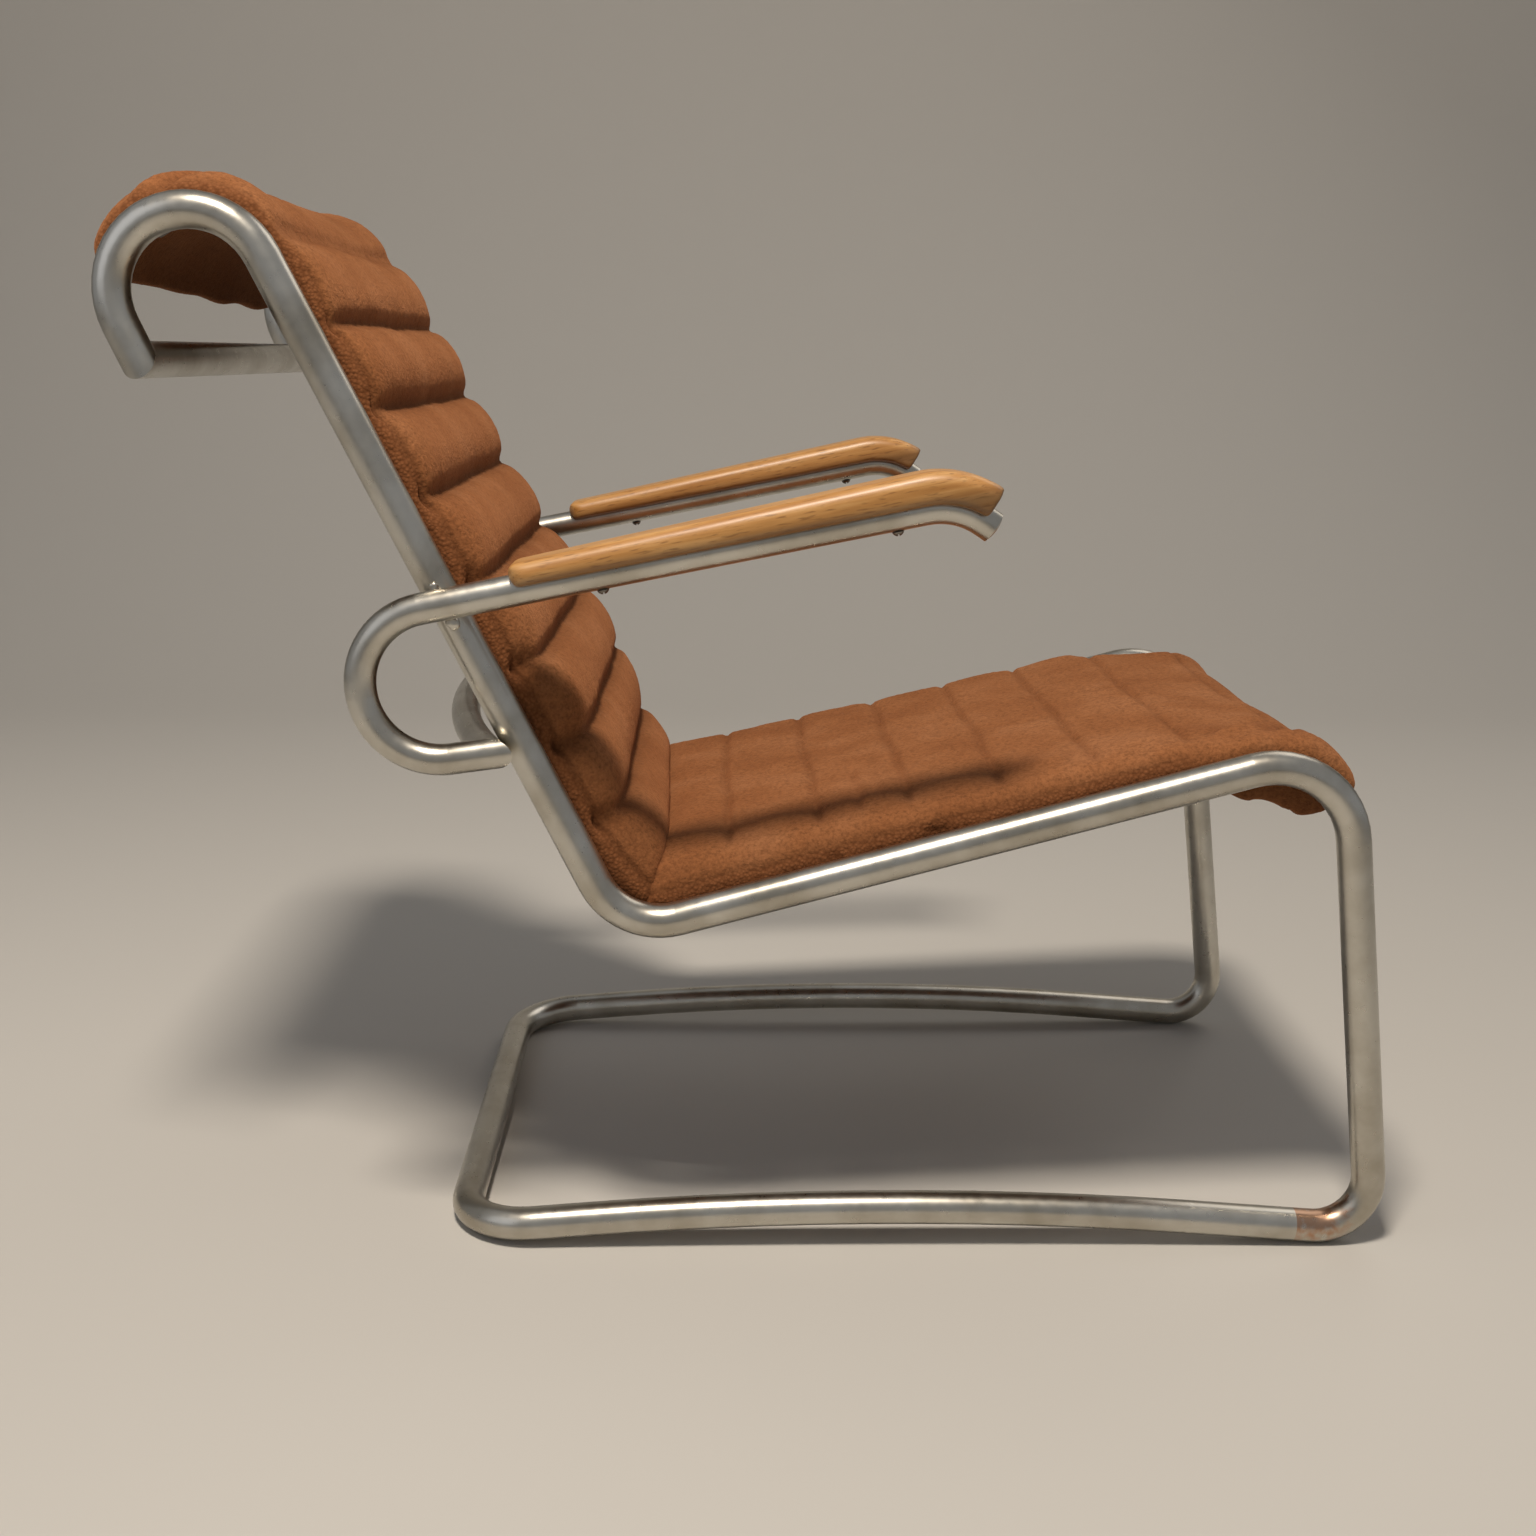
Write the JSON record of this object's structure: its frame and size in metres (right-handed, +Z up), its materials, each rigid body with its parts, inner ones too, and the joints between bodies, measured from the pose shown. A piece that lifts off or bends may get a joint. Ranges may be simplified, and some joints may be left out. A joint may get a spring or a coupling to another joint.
{
  "type": "easy chair",
  "caption": "Cantilever easy chair: bent steel tube frame with a looped arm on each side, wooden armrests and channelled plush pads that wrap over the head hook and the front edge.",
  "frame": {"origin": "on the floor, below the middle of the chair's overall box", "axes": "+X is the way the chair faces, +Y is the sitter's left, +Z is up"},
  "size_m": [0.9283, 0.5414, 0.7724],
  "materials": {
    "plated_steel": "worn satin plating",
    "bare_steel": "dull",
    "screw_steel": "aged",
    "wood": "worn varnish",
    "plush": "short-pile plush",
    "webbing": "woven webbing"
  },
  "bodies": {
    "root": {"side_tube_right": "plated_steel", "side_tube_left": "plated_steel", "floor_tube": "plated_steel", "head_cross_tube": "plated_steel", "arm_tube_right": "plated_steel", "arm_tube_left": "plated_steel", "arm_cross_tube": "plated_steel", "arm_end_caps": "plated_steel", "floor_joint_plugs": "bare_steel", "strap_hooks_right": "bare_steel", "strap_hooks_left": "bare_steel", "armrest_screws": "screw_steel", "armrest_right": "wood", "armrest_left": "wood", "seat_pad": "plush", "back_pad": "plush", "seat_strap_1": "webbing", "seat_strap_2": "webbing", "seat_strap_3": "webbing", "seat_strap_4": "webbing", "seat_strap_5": "webbing", "back_strap_1": "webbing", "back_strap_2": "webbing", "back_strap_3": "webbing", "back_strap_4": "webbing", "back_strap_5": "webbing", "back_strap_6": "webbing", "head_strap_1": "webbing", "head_strap_2": "webbing"}
  },
  "joints": []
}
